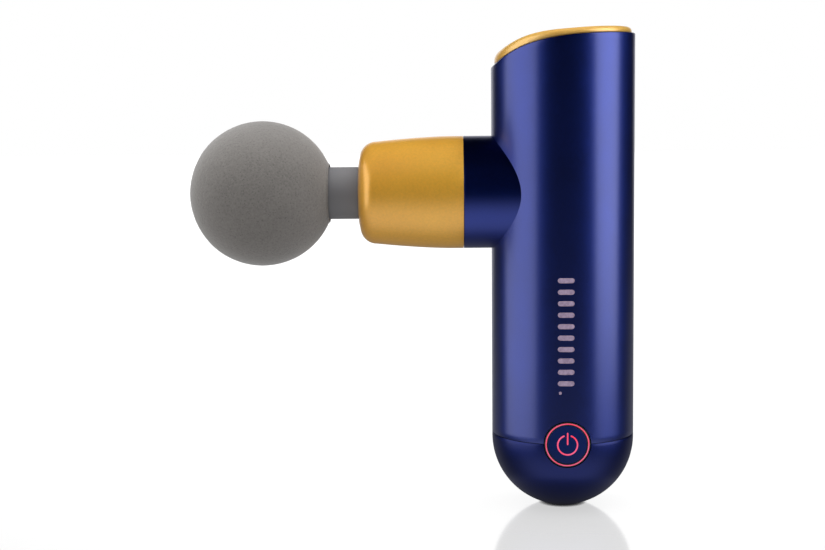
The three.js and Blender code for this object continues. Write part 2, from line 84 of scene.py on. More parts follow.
AROUND = 256  # steps round a large piece
SMALL_AROUND = 96
WALL = 1.5 * MM
TUBE_INNER_R = BODY_R - WALL
TOP_SPAN = 45.9 * MM
TOP_BOW = 4.01 * MM
TOP_BROW = 6.34 * MM
SEAM_HALF = 0.06 * MM  # half the visible width of a seam
DOME_SEAM_Z = SEAM_Z - 0.3 * MM  # the dome's outside ends here, and the tube's starts a seam above
DOME_INNER_R = 19.9 * MM
SPIGOT_R = BODY_R - 1.8 * MM  # dome and lid plug into the tube with this radius
SPIGOT_LENGTH = 3 * MM
SEAM_LIP = 0.12 * MM  # rounding of the handle's edges at a seam
BARREL_LIP = 0.1 * MM  # the same on collar and nose
LIP_SHARE = 0.3  # a lip's middle point lies this share of the lip from both of its faces
EDGE = 0.3 * MM  # rounding of a machined edge
RIM_EDGE = 0.35 * MM  # rounding of the tube's upper rim
HOLE_R = 7.5 * MM  # hole for the button
PISTON_HOLE_R = 9.6 * MM
FACE_SINK = 0.12 * MM  # the button's face lies this far below the handle's surface
FACE_R = 6.15 * MM
LIT_RING_R = 6.72 * MM
LIT_LIFT = 0.02 * MM  # lit pieces stand this far out of what they are set in
PRINT_LIFT = 0.012 * MM
LID_EDGE = 1.5 * MM
LID_FRONT_RISE = 2.8 * MM  # the lid stands higher above the rim at the front than at the rear
LID_FALL = (-16 * MM, 4 * MM)  # between these x the lid's rise goes from the front's to the rear's
BARREL_BORE = 15 * MM
NOSE_HOLE_R = 8.9 * MM
PLUG_R = 6 * MM
CORE_R = 7 * MM  # the stem's core, inside the ball
BALL_BACK_X = -78.3 * MM  # where the foam's mouth opens into the room for the core
BALL_CORE_R = 7.3 * MM
BALL_CORE_X = -104.3 * MM

# ---- Light, where 1 is white paper in the picture ----

DARK_ROOM = 0.004
BEHIND_LIGHT = 0.9
BELOW_LIGHT = 0.74
FAR_FLOOR_LIGHT = 0.2
FLOOR_GLOW = 0.615
# reach of the floor's painted contact shadow
CONTACT_SHADOW_REACH = 1.2 * MM
SHADE_R = 26 * MM
SHADE_RIM_LIGHT = 0.26


def top_at(x):
    """Height of the tube's slanted top: a shallow bow that falls steeply close to the front."""
    t = (BODY_R - np.clip(x, -BODY_R, BODY_R)) / TOP_SPAN
    return TUBE_TOP_Z - TOP_BOW * t**2 - TOP_BROW * t**6


def handle_depth(x, z, lift=0.0):
    """Y of the handle's near surface at x and z, moved out by lift. Below its centre the dome is a sphere."""
    below = min(0.0, z - DOME_CENTRE_Z)
    return -(math.sqrt(max(0.0, BODY_R**2 - x * x - below * below)) + lift)


# ---- Mesh building ----

def add_mesh(name, verts, faces, mat, sharp=35):
    mesh = bpy.data.meshes.new(name)
    mesh.from_pydata([tuple(v) for v in verts], [], faces)
    mesh.validate()
    mesh.update()
    obj = bpy.data.objects.new(name, mesh)
    bpy.context.scene.collection.objects.link(obj)
    mesh.materials.append(mat)
    finish_mesh(mesh, sharp)
    return obj


def finish_mesh(mesh, sharp=35):
    """Outward normals, smooth faces and sharp edges only where faces meet at more than `sharp` degrees."""
    bm = bmesh.new()
    bm.from_mesh(mesh)
    bmesh.ops.remove_doubles(bm, verts=bm.verts, dist=1e-7)
    bmesh.ops.dissolve_degenerate(bm, dist=1e-8, edges=bm.edges)
    bmesh.ops.recalc_face_normals(bm, faces=bm.faces)
    bm.to_mesh(mesh)
    bm.free()
    mesh.shade_smooth()
    mesh.set_sharp_from_angle(angle=math.radians(sharp))


def arc(cx, cy, r, start, end, steps):
    return [
        (cx + r * math.cos(math.radians(a)), cy + r * math.sin(math.radians(a)))
        for a in np.linspace(start, end, steps + 1)
    ]


def rounded(points, radii, steps=5):
    """An open outline whose inner corners are rounded. radii has one radius for each inner corner."""
    out = [points[0]]
    for i, r in enumerate(radii, start=1):
        before, corner, after = (Vector(points[j]) for j in (i - 1, i, i + 1))
        if r <= 0:
            out.append(points[i])
            continue
        a, b = (before - corner).normalized(), (after - corner).normalized()
        half = a.angle(b) / 2
        reach = min(r / math.tan(half), 0.49 * (before - corner).length, 0.49 * (after - corner).length)
        start, end = corner + a * reach, corner + b * reach
        for k in range(steps + 1):
            t = k / steps
            out.append(tuple(start * (1 - t) ** 2 + corner * 2 * t * (1 - t) + end * t * t))
    out.append(points[-1])
    return out


def axis_point(axis, centre, r, h, angle):
    """The point at radius r, height h along the axis and that angle round it."""
    c, s = r * math.cos(angle), r * math.sin(angle)
    place = {"z": (c, s, h), "x": (h, c, s), "y": (c, h, s)}[axis]
    return tuple(p + q for p, q in zip(place, centre))


def grid_faces(rows, columns, close_rows=False, close_columns=False):
    """Quads over a grid of rows by columns points, either way closed or open."""
    faces = []
    for i in range(rows if close_rows else rows - 1):
        for j in range(columns if close_columns else columns - 1):
            i2, j2 = (i + 1) % rows, (j + 1) % columns
            faces.append((i * columns + j, i * columns + j2, i2 * columns + j2, i2 * columns + j))
    return faces


def lathe(name, profile, mat, axis="z", centre=(0, 0, 0), around=AROUND, closed=False, sharp=35):
    """(radius, height) pairs turned round an axis. A closed profile is a ring's section."""
    angles = np.linspace(0, 2 * math.pi, around, endpoint=False)
    verts = [axis_point(axis, centre, r, h, a) for r, h in profile for a in angles]
    faces = grid_faces(len(profile), around, close_rows=closed, close_columns=True)
    return add_mesh(name, verts, faces, mat, sharp)


def carve(obj, *cutters):
    """Cuts the cutters out of obj, and removes them."""
    for cutter in cutters:
        modifier = obj.modifiers.new("carve", "BOOLEAN")
        modifier.operation = "DIFFERENCE"
        modifier.solver = "EXACT"
        modifier.object = cutter
    bpy.context.view_layer.update()
    shaped = bpy.data.meshes.new_from_object(obj.evaluated_get(bpy.context.evaluated_depsgraph_get()))
    obj.modifiers.clear()
    old, obj.data = obj.data, shaped
    bpy.data.meshes.remove(old)
    for cutter in cutters:
        bpy.data.objects.remove(cutter)
    finish_mesh(obj.data)


def rod(name, r, low, high, axis, centre):
    """A plain round cutter."""
    return lathe(name, [(0, low), (r, low), (r, high), (0, high)], NAVY, axis, centre, SMALL_AROUND)


# ---- Materials ----

def add_node(tree, kind, inputs, **settings):
    """A node with its settings made, and each input linked to a socket or set to a value."""
    made = tree.nodes.new(kind)
    for key, value in settings.items():
        setattr(made, key, value)
    for key, value in inputs.items():
        if isinstance(value, bpy.types.NodeSocket):
            tree.links.new(value, made.inputs[key])
        else:
            made.inputs[key].default_value = value
    return made


class Nodes:
    """Short names for the nodes of one procedural material."""

    def __init__(self, name):
        self.mat = bpy.data.materials.new(name)
        self.mat.use_nodes = True
        self.tree = self.mat.node_tree
        self.shader = self.tree.nodes["Principled BSDF"]
        self.coords = self.tree.nodes.new("ShaderNodeTexCoord").outputs["Object"]

    def node(self, kind, inputs, **settings):
        return add_node(self.tree, kind, inputs, **settings)

    def product(self, a, b):
        """Two colours multiplied."""
        inputs = {"Factor": 1.0, "A": a, "B": b}
        return self.node("ShaderNodeMix", inputs, data_type="RGBA", blend_type="MULTIPLY").outputs[2]

    def stretched(self, scale):
        """Object coordinates stretched along the axes, for brushed or drawn grain."""
        return self.node("ShaderNodeMapping", {"Vector": self.coords, "Scale": scale}).outputs["Vector"]

    def noise(self, scale, detail=2.0, rough=0.5, vector=None):
        inputs = {"Vector": vector or self.coords, "Scale": scale, "Detail": detail, "Roughness": rough}
        return self.node("ShaderNodeTexNoise", inputs).outputs["Fac"]

    def cells(self, scale):
        """Distance to the nearest of many scattered points, for pores and grains."""
        return self.node("ShaderNodeTexVoronoi", {"Vector": self.coords, "Scale": scale}).outputs["Distance"]

    def ramp(self, fac, *stops):
        made = self.node("ShaderNodeValToRGB", {"Fac": fac})
        ramp = made.color_ramp
        while len(ramp.elements) < len(stops):
            ramp.elements.new(0.5)
        for element, (position, colour) in zip(ramp.elements, stops):
            element.position = position
            element.color = (*colour, 1)
        return made.outputs["Color"]

    def spread(self, fac, low, high, start=0.3, end=0.7):
        """fac between start and end brought to low and high."""
        inputs = {"Value": fac, "From Min": start, "From Max": end, "To Min": low, "To Max": high}
        return self.node("ShaderNodeMapRange", inputs).outputs["Result"]

    def bump(self, height, strength, distance, normal=None):
        inputs = {"Height": height, "Strength": strength, "Distance": distance}
        if normal:
            inputs["Normal"] = normal
        return self.node("ShaderNodeBump", inputs).outputs["Normal"]

    def set(self, **inputs):
        for key, value in inputs.items():
            socket = self.shader.inputs[key.replace("_", " ")]
            if isinstance(value, bpy.types.NodeSocket):
                self.tree.links.new(value, socket)
            else:
                socket.default_value = value
        return self.mat


def tinted(colour, factor):
    return tuple(min(1.0, c * factor) for c in colour)


def anodised(name, colour, rough, grain=0.05, coarse=1700, metal=1.0, coat=0.0):
    """Bead-blasted and anodised aluminium: an even grain, a slow change of tint and faint handling wear."""
    n = Nodes(name)
    slow = n.noise(38, 2)
    fine = n.noise(coarse, 3, 0.6)
    tint = n.ramp(slow, (0.3, tinted(colour, 0.93)), (0.7, tinted(colour, 1.07)))
    speck = n.ramp(fine, (0.32, (0.9, 0.9, 0.9)), (0.68, (1, 1, 1)))
    coloured = n.product(tint, speck)
    smudge = n.noise(95, 4, 0.62)
    wear = n.spread(smudge, rough - 0.025, rough + 0.03)
    roughness = n.node("ShaderNodeMath", {0: wear, 1: n.spread(fine, -0.03, 0.03)}, operation="ADD")
    return n.set(
        Base_Color=coloured,
        Metallic=metal,
        Roughness=roughness.outputs[0],
        Coat_Weight=coat,
        Coat_Roughness=0.26,
        Coat_IOR=1.75,
        Normal=n.bump(fine, grain, 0.05 * MM),
    )


def moulded(name, colour, rough, grain=0.08, scale=2600, specular=0.5):
    """Injection-moulded plastic: a fine spark-eroded texture with small changes of gloss."""
    n = Nodes(name)
    slow, fine = n.noise(60, 3), n.noise(scale, 2, 0.6)
    return n.set(
        Base_Color=n.ramp(slow, (0.3, tinted(colour, 0.92)), (0.7, tinted(colour, 1.08))),
        Roughness=n.spread(n.noise(140, 4), rough - 0.05, rough + 0.05),
        Specular_IOR_Level=specular,
        Normal=n.bump(fine, grain, 0.04 * MM),
    )


def machined(name, colour, rough, stretch=(1, 1, 14)):
    """Bare metal with fine turning or drawing marks."""
    n = Nodes(name)
    marks = n.noise(420, 4, 0.6, n.stretched(stretch))
    return n.set(
        Base_Color=n.ramp(marks, (0.3, tinted(colour, 0.85)), (0.7, tinted(colour, 1.1))),
        Metallic=1.0,
        Roughness=n.spread(marks, rough - 0.08, rough + 0.1),
        Normal=n.bump(marks, 0.12, 0.03 * MM),
    )


def foam():
    """Closed-cell foam: a fine matt grain of cut cells, with painted shade darkening the pores."""
    n = Nodes("foam")
    grain, pores = n.noise(1500, 3, 0.65), n.cells(1150)
    slow = n.noise(52, 3)
    base = n.ramp(slow, (0.3, (0.151, 0.142, 0.133)), (0.7, (0.177, 0.166, 0.156)))
    # painted shade: the colour is darkened in the pores
    pore_shade = n.ramp(pores, (0.05, (0.66, 0.66, 0.66)), (0.32, (1, 1, 1)))
    speck = n.ramp(grain, (0.3, (0.82, 0.82, 0.82)), (0.7, (1.1, 1.1, 1.1)))
    coarse = n.bump(grain, 0.35, 0.12 * MM)
    return n.set(
        Base_Color=n.product(n.product(base, pore_shade), speck),
        Roughness=n.spread(slow, 0.9, 1.0),
        Specular_IOR_Level=0.18,
        Sheen_Weight=0.38,
        Sheen_Roughness=0.5,
        Normal=n.bump(pores, 0.3, 0.1 * MM, coarse),
    )


def glowing(name, colour, rough=0.35, strength=0.72):
    """A translucent light guide, unevenly lit from behind."""
    n = Nodes(name)
    uneven = n.noise(150, 2)
    light = n.ramp(uneven, (0.36, colour), (0.64, (0.82, 0.11, 0.24)))
    return n.set(
        Base_Color=n.ramp(uneven, (0.36, tinted(colour, 0.6)), (0.64, (0.5, 0.06, 0.12))),
        Roughness=n.spread(n.noise(400, 3), rough - 0.05, rough + 0.05),
        Emission_Color=light,
        Emission_Strength=strength,
    )


def printed():
    """Pale ink, a little worn."""
    n = Nodes("printed_mark")
    wear = n.noise(900, 4, 0.7)
    return n.set(
        Base_Color=n.ramp(wear, (0.3, (0.25, 0.18, 0.28)), (0.62, (0.41, 0.31, 0.44))),
        Roughness=n.spread(wear, 0.4, 0.55),
        Normal=n.bump(wear, 0.1, 0.01 * MM),
    )


def stage_white():
    """Plain white acrylic sheet, lit partly from below, with a painted contact shadow only where something
    stands on it.
    """
    n = Nodes("stage_white")
    # painted contact shadow: the floor's glow fades where ambient occlusion finds something close
    contact = n.node("ShaderNodeAmbientOcclusion", {"Distance": CONTACT_SHADOW_REACH}, samples=8).outputs["AO"]
    return n.set(
        Base_Color=(0.16, 0.16, 0.16, 1),
        Roughness=n.spread(n.noise(3), 0.09, 0.11),
        IOR=2.4,
        Emission_Color=(1, 1, 1, 1),
        Emission_Strength=n.spread(contact, 0.0, FLOOR_GLOW, 0.1, 0.7),
    )


def ground_shade():
    """Ground that grows lighter from where the object stands to the rim of its shade."""
    n = Nodes("ground_shade")
    reach = n.node("ShaderNodeVectorMath", {0: n.coords}, operation="LENGTH").outputs["Value"]
    return n.set(
        Base_Color=(0, 0, 0, 1),
        Roughness=1.0,
        Emission_Color=(1, 1, 1, 1),
        Emission_Strength=n.spread(reach, 0.0, SHADE_RIM_LIGHT, 2 * MM, SHADE_R),
    )


NAVY = anodised("navy_anodised", (0.005, 0.03, 0.31), 0.4, coat=0.88)
COLLAR_NAVY = anodised("collar_navy", (0.005, 0.03, 0.31), 0.4, coat=0.55)
# painted shade: a darker copy of the navy for the dome, partly its own darker tone and partly the shade of
# the floor it stands on
DOME_NAVY_WITH_PAINTED_SHADE = anodised("dome_navy_painted_shade", (0.008, 0.02, 0.17), 0.42, coat=0.25)
GOLD = anodised("gold_anodised", (1.0, 0.485, 0.05), 0.4, grain=0.12, coarse=1300, metal=0.5, coat=0.8)
# painted highlight: a lighter, paler copy of the gold, standing in for the brighter light on the lid's band
LID_GOLD_PAINTED_HIGHLIGHT = anodised("lid_gold_painted_highlight", (1.0, 0.55, 0.11), 0.38, grain=0.08, coarse=1300, metal=0.4, coat=1.0)
STEM_GREY = moulded("grey_plastic", (0.165, 0.165, 0.175), 0.42)
FACE_NAVY = moulded("button_face", (0.004, 0.014, 0.09), 0.28, grain=0.03, specular=0.12)
RED_LIGHT = glowing("red_light", (0.87, 0.045, 0.1))
FOAM = foam()
BLACK_RUBBER = moulded("black_rubber", (0.018, 0.018, 0.019), 0.65)
DARK_PLASTIC = moulded("dark_plastic", (0.028, 0.028, 0.031), 0.5)
STEEL = machined("steel", (0.56, 0.57, 0.59), 0.28)
ALUMINIUM = machined("bare_aluminium", (0.64, 0.65, 0.67), 0.35)
BRONZE = machined("bronze", (0.47, 0.27, 0.12), 0.4)
COPPER = machined("copper_winding", (0.52, 0.2, 0.085), 0.35, (1, 1, 60))
MAGNET = machined("magnet", (0.2, 0.2, 0.21), 0.3)
CELL_WRAP = moulded("cell_wrap", (0.04, 0.17, 0.27), 0.35)
BOARD = moulded("circuit_board", (0.015, 0.12, 0.05), 0.3)
WIRE = moulded("wire_sleeve", (0.32, 0.02, 0.02), 0.45)
PRINT = printed()

SLOT_MATERIALS = {
    "navy_anodised": NAVY, "gold_anodised": GOLD, "grey_plastic": STEM_GREY, "foam": FOAM,
    "button_navy": FACE_NAVY, "red_light": RED_LIGHT, "black_rubber": BLACK_RUBBER,
    "dark_plastic": DARK_PLASTIC, "steel": STEEL, "bare_aluminium": ALUMINIUM, "bronze": BRONZE,
    "copper_winding": COPPER, "magnet": MAGNET, "cell_wrap": CELL_WRAP, "circuit_board": BOARD,
    "wire_sleeve": WIRE,
}


def dress_cad_nodes():
    """Every CAD node gets its slot's procedural material. Finer pieces replace some of the nodes later."""
    for part in frame["record"]["subparts"]:
        obj = frame["nodes"][part["node"]]
        obj.data.materials.clear()
        obj.data.materials.append(SLOT_MATERIALS[part["material_slot"]])


def place(obj, body, slot, *nodes):
    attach(obj, body)
    if nodes:
        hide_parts(*nodes)
    return obj


# ---- Handle ----

def button_cutter():
    return rod("cut_button", HOLE_R, -30 * MM, -12 * MM, "y", (0, 0, BUTTON_Z))


def handle_tube():
    """The tube, its rim following the slanted top, as one closed shell."""
    low = DOME_SEAM_Z + 2 * SEAM_HALF
    start = low + SEAM_LIP
    angles = np.linspace(0, 2 * math.pi, AROUND, endpoint=False)

    def column(angle):
        """(radius, height) pairs at one angle: up the outside, over the rim and down the inside."""
        def rim_at(r):
            return float(top_at(r * math.cos(angle)))

        top = rim_at(BODY_R) - RIM_EDGE
        points = [(BODY_R - SEAM_LIP, low), (BODY_R - SEAM_LIP * LIP_SHARE, low + SEAM_LIP * LIP_SHARE)]
        points += [(BODY_R, start + (top - start) * t) for t in np.linspace(0, 1, 72)]
        for a in np.radians([22.5, 45, 67.5, 90]):
            r = BODY_R - RIM_EDGE * (1 - math.cos(a))
            points.append((r, rim_at(r) - RIM_EDGE * (1 - math.sin(a))))
        inner_top = rim_at(TUBE_INNER_R) - EDGE
        points.append((TUBE_INNER_R + EDGE, rim_at(TUBE_INNER_R + EDGE)))
        points += [(TUBE_INNER_R, low + (inner_top - low) * t) for t in np.linspace(1, 0, 9)]
        return points

    columns = [column(a) for a in angles]
    verts = [(r * math.cos(a), r * math.sin(a), z)
             for ring in zip(*columns) for (r, z), a in zip(ring, angles)]
    tube = add_mesh("handle_tube", verts, grid_faces(len(columns[0]), AROUND, True, True), NAVY)
    piston_cutter = rod("cut_piston", PISTON_HOLE_R, -30 * MM, 0, "x", (0, 0, BARREL_Z))
    carve(tube, button_cutter(), piston_cutter)
    return place(tube, "housing", "navy_anodised", "body_tube")


def handle_dome():
    """The round lower end: a thick moulded shell with a spigot that fits into the tube."""
    flat_r = math.sqrt(BODY_R**2 - DOME_CENTRE_Z**2)
    flat_angle = -math.degrees(math.acos(flat_r / BODY_R))
    outer = arc(0, DOME_CENTRE_Z, BODY_R, flat_angle, 0, 64)
    inner = arc(0, DOME_CENTRE_Z, DOME_INNER_R, 0, -89.9, 40)
    spigot_top = DOME_SEAM_Z + SPIGOT_LENGTH
    profile = [(0, 0), (flat_r * 0.5, 0), (flat_r - 0.4 * MM, 0.0)]
    profile += [(r, max(z, 0.0)) for r, z in outer[1:]]
    profile += [(BODY_R, DOME_SEAM_Z - SEAM_LIP),
                (BODY_R - SEAM_LIP * LIP_SHARE, DOME_SEAM_Z - SEAM_LIP * LIP_SHARE),
                (BODY_R - SEAM_LIP, DOME_SEAM_Z), (SPIGOT_R, DOME_SEAM_Z), (SPIGOT_R, spigot_top),
                (DOME_INNER_R, spigot_top)]
    profile += inner + [(0, DOME_CENTRE_Z - DOME_INNER_R)]
    # the dome's navy carries painted shade from the floor it stands on
    dome = lathe("handle_dome", profile, DOME_NAVY_WITH_PAINTED_SHADE)
    gap = 0.3 * MM  # round the charging socket
    port_cutter = slot_body("cut_port", USB_HALF_WIDTH + gap, USB_HALF_HEIGHT + gap, 15 * MM, 30 * MM)
    carve(dome, button_cutter(), port_cutter)
    return place(dome, "housing", "navy_anodised", "dome_cap")


def slot_outline(half_width, half_height, steps=16):
    """A stadium in Y and Z, as wide and as high as stated."""
    straight = half_width - half_height
    right = arc(straight, 0, half_height, -90, 90, steps)
    left = arc(-straight, 0, half_height, 90, 270, steps)
    return right + left


def slot_body(name, half_width, half_height, x0, x1):
    outline = slot_outline(half_width, half_height)
    count = len(outline)
    verts = [(x, y, USB_Z + z) for x in (x0, x1) for y, z in outline]
    faces = grid_faces(2, count, close_columns=True)
    faces += [tuple(range(count))[::-1], tuple(range(count, 2 * count))]
    return add_mesh(name, verts, faces, NAVY)


def charging_socket():
    """Drawn steel shell with a rolled mouth, a dark tongue inside and its row of contacts."""
    wall = 0.3 * MM
    # (how far inside the shell's outside, x)
    sections = [(0, USB_BACK_X), (0, USB_MOUTH_X - 0.12 * MM), (0.1 * MM, USB_MOUTH_X),
                (wall - 0.05 * MM, USB_MOUTH_X), (wall, USB_MOUTH_X - 0.1 * MM),
                (wall, USB_BACK_X + 1.2 * MM)]
    verts = []
    for inset, x in sections:
        outline = slot_outline(USB_HALF_WIDTH - inset, USB_HALF_HEIGHT - inset)
        verts += [(x, y, USB_Z + z) for y, z in outline]
    count = len(verts) // len(sections)
    faces = grid_faces(len(sections), count, close_columns=True)
    faces += [tuple(range(count))[::-1], tuple(range(len(verts) - count, len(verts)))]
    place(add_mesh("charging_socket", verts, faces, STEEL), "housing", "steel", "usb_receptacle")

    half_width, half_height = 3.3 * MM, 0.35 * MM
    tongue = bevelled_box("socket_tongue", (USB_BACK_X + 1 * MM, USB_MOUTH_X - 1 * MM),
                          (-half_width, half_width), (USB_Z - half_height, USB_Z + half_height),
                          0.12 * MM, DARK_PLASTIC)
    place(tongue, "housing", "dark_plastic")
    contacts, pitch, contact_half = 12, 0.5 * MM, 0.13 * MM
    for i in range(contacts):
        y = (i - (contacts - 1) / 2) * pitch
        contact = bevelled_box(f"socket_contact_{i + 1}", (USB_MOUTH_X - 4.5 * MM, USB_MOUTH_X - 1.4 * MM),
                               (y - contact_half, y + contact_half), (USB_Z + 0.33 * MM, USB_Z + 0.4 * MM),
                               0.02 * MM, GOLD)
        place(contact, "housing", "gold_anodised")


def bevelled_box(name, xs, ys, zs, edge, mat):
    bm = bmesh.new()
    bmesh.ops.create_cube(bm, size=1.0)
    for v in bm.verts:
        for axis, (low, high) in enumerate((xs, ys, zs)):
            v.co[axis] = low if v.co[axis] < 0 else high
    bmesh.ops.bevel(bm, geom=bm.edges[:], offset=edge, segments=3, affect="EDGES")
    mesh = bpy.data.meshes.new(name)
    bm.to_mesh(mesh)
    bm.free()
    mesh.materials.append(mat)
    obj = bpy.data.objects.new(name, mesh)
    bpy.context.scene.collection.objects.link(obj)
    finish_mesh(mesh)
    return obj


def lid():
    """The gold lid: it follows the slanted top, with a soft edge, and plugs into the tube."""
    rear_rise = LID_TOP_Z - float(top_at(LID_R))
    fall_start, fall_end = LID_FALL
    shelf = 0.05 * MM  # how far above the rim the lid's edge starts
    shelf_edge = (0.15 * MM, 0.25 * MM)
    hollow_r, ceiling = SPIGOT_R - 1.6 * MM, 1.2 * MM

    def extra_rise(x):
        """How much higher above the rim than at the rear the lid stands at x."""
        t = min(1.0, max(0.0, (x - fall_start) / (fall_end - fall_start)))
        return (LID_FRONT_RISE - rear_rise) * (1 - t * t * (3 - 2 * t))

    # (radius, height above the rim, share of the extra rise)
    rings = [(t * (LID_R - LID_EDGE), rear_rise, 1) for t in np.linspace(0, 1, 40)]
    for a in np.radians(np.linspace(90, 0, 13))[1:]:
        rings.append((LID_R - LID_EDGE * (1 - math.cos(a)), rear_rise - LID_EDGE * (1 - math.sin(a)), 1))
    rings += [(LID_R, shelf + shelf_edge[1], 0), (LID_R - shelf_edge[0], shelf, 0), (SPIGOT_R, shelf, 0),
              (SPIGOT_R, -SPIGOT_LENGTH, 0), (hollow_r, -SPIGOT_LENGTH, 0), (hollow_r, ceiling, 0)]
    rings += [(t * hollow_r, ceiling, 0) for t in (0.66, 0.33, 0.0)]
    angles = np.linspace(0, 2 * math.pi, AROUND, endpoint=False)
    verts = []
    for r, h, risen in rings:
        for a in angles:
            x = r * math.cos(a)
            verts.append((x, r * math.sin(a), float(top_at(x)) + h + risen * extra_rise(x)))
    faces = grid_faces(len(rings), AROUND, close_columns=True)
    return place(add_mesh("gold_lid", verts, faces, LID_GOLD_PAINTED_HIGHLIGHT), "housing", "gold_anodised", "top_lid")


# ---- Barrel ----

def collar():
    """Navy sleeve whose rear end is shaped to sit on the round tube."""
    front = NOSE_START_X + 2 * SEAM_HALF
    start = front + BARREL_LIP
    sink = 0.25 * MM  # how far the sleeve reaches into the tube's wall
    angles = np.linspace(0, 2 * math.pi, AROUND, endpoint=False)

    def saddle(r, angle):
        """X of the tube's surface, less the sink, at that radius and angle round the barrel."""
        y = r * math.cos(angle)
        return -math.sqrt(BODY_R**2 - y * y) + sink

    rows = []
    for r, x in [(BARREL_BORE, front), (BARREL_R - BARREL_LIP, front),
                 (BARREL_R - BARREL_LIP * LIP_SHARE, front + BARREL_LIP * LIP_SHARE)]:
        rows.append([(r, x)] * AROUND)
    for t in np.linspace(0, 1, 24):
        rows.append([(BARREL_R, start + (saddle(BARREL_R, a) - start) * t) for a in angles])
    for t in np.linspace(0, 1, 8):
        rows.append([(BARREL_BORE, saddle(BARREL_BORE, a) * (1 - t) + start * t) for a in angles])
    verts = [axis_point("x", (0, 0, BARREL_Z), r, x, a) for row in rows for (r, x), a in zip(row, angles)]
    faces = grid_faces(len(rows), AROUND, close_rows=True, close_columns=True)
    return place(add_mesh("collar", verts, faces, COLLAR_NAVY), "housing", "navy_anodised", "barrel_collar")


def nose():
    """Gold nose: a slow taper, a round shoulder and a shallow dished front with the stem's hole."""
    taper_x = NOSE_START_X - 3.9 * MM
    shoulder_r = 5.15 * MM
    shoulder_x = NOSE_FRONT_X + 5.55 * MM
    dish = 0.06 * MM
    front_wall = 3.5 * MM

    def radius_at(x):
        return BARREL_R - 0.0098 * MM * max(0.0, (taper_x - x) / MM) ** 1.6

    profile = [(BARREL_BORE, NOSE_START_X), (BARREL_R - BARREL_LIP, NOSE_START_X),
               (BARREL_R - BARREL_LIP * LIP_SHARE, NOSE_START_X - BARREL_LIP * LIP_SHARE),
               (BARREL_R, NOSE_START_X - BARREL_LIP)]
    profile += [(radius_at(x), x) for x in np.linspace(taper_x, shoulder_x, 28)]
    profile += arc(radius_at(shoulder_x) - shoulder_r, shoulder_x, shoulder_r, 0, -85, 20)[1:]
    mouth = [(NOSE_HOLE_R + 1.4 * MM, NOSE_FRONT_X + dish), (NOSE_HOLE_R, NOSE_FRONT_X),
             (NOSE_HOLE_R, NOSE_FRONT_X + front_wall)]
    profile += rounded(mouth, [0.5 * MM])
    profile += [(BARREL_BORE - 1 * MM, NOSE_FRONT_X + 3.55 * MM), (BARREL_BORE, NOSE_FRONT_X + 4.55 * MM)]
    piece = lathe("nose", profile, GOLD, "x", (0, 0, BARREL_Z), closed=True)
    return place(piece, "housing", "gold_anodised", "nose_cone")


# ---- Massage head ----

def ball():
    """The foam ball, its surface softly uneven and its mouth rolled in round the neck."""
    mouth = math.degrees(math.asin((NECK_R + 0.25 * MM) / BALL_R))
    mouth_x = BALL_X + BALL_R * math.cos(math.radians(mouth))
    profile = [(r, x) for x, r in arc(BALL_X, 0, BALL_R, 180, mouth + 3.2, 150)]
    profile += [(NECK_R + 0.95 * MM, mouth_x + 0.02 * MM), (NECK_R + 0.35 * MM, mouth_x - 0.5 * MM),
                (NECK_R + 0.12 * MM, mouth_x - 1.3 * MM), (NECK_R + 0.1 * MM, BALL_BACK_X),
                (BALL_CORE_R, BALL_BACK_X), (BALL_CORE_R, BALL_CORE_X), (0, BALL_CORE_X)]
    piece = lathe("foam_head", profile, FOAM, "x", (0, 0, BARREL_Z), around=288, sharp=60)
    centre = Vector((BALL_X, 0, BARREL_Z))
    dents = ((95, 0.10), (620, 0.035), (1500, 0.03))  # (scale, depth) of the noise
    for v in piece.data.vertices:
        out = v.co - centre
        if out.length < BALL_R - 0.4 * MM:  # the mouth and the room for the core stay as they are
            continue
        dent = sum(noise.noise(v.co * scale) * depth for scale, depth in dents)
        v.co = centre + out * (1 - max(0.0, 0.06 + 0.7 * dent) * MM / BALL_R)
    return place(piece, "head", "foam", "foam_ball")


def stem():
    """Moulded stem: plug with its ring groove, neck, and the core inside the ball."""
    groove_x = sum(span("head_o_ring", X)) / 2
    groove_half, groove_r = 1.1 * MM, PLUG_R - 1.2 * MM
    neck_x = -78 * MM
    shoulder_x = PISTON_FRONT_X - 0.3 * MM
    # Each point with the rounding of its corner, in millimetres
    corners = [((PLUG_R, PLUG_END_X), 1.0), ((PLUG_R, groove_x + groove_half), 0.15),
               ((groove_r, groove_x + groove_half), 0.2), ((groove_r, groove_x - groove_half), 0.2),
               ((PLUG_R, groove_x - groove_half), 0.15), ((PLUG_R, shoulder_x), 0.3),
               ((NECK_R, shoulder_x), 0.4), ((NECK_R, neck_x), 0.3), ((CORE_R, neck_x), 0.3),
               ((CORE_R, STEM_END_X), 1.0)]
    points = [(0, PLUG_END_X), *(point for point, _ in corners), (0, STEM_END_X)]
    profile = rounded(points, [r * MM for _, r in corners])
    piece = lathe("neck", profile, STEM_GREY, "x", (0, 0, BARREL_Z), around=160)
    return place(piece, "head", "grey_plastic", "head_stem")


def o_ring():
    low, high = span("head_o_ring", X)
    r = (high - low) / 2 + 0.05 * MM
    outer = span("head_o_ring", Y)[1]
    section = arc(outer - r, (low + high) / 2, r, 0, 337.5, 15)
    piece = lathe("grip_ring", section, BLACK_RUBBER, "x", (0, 0, BARREL_Z), SMALL_AROUND, closed=True)
    return place(piece, "head", "black_rubber", "head_o_ring")


# ---- Button ----

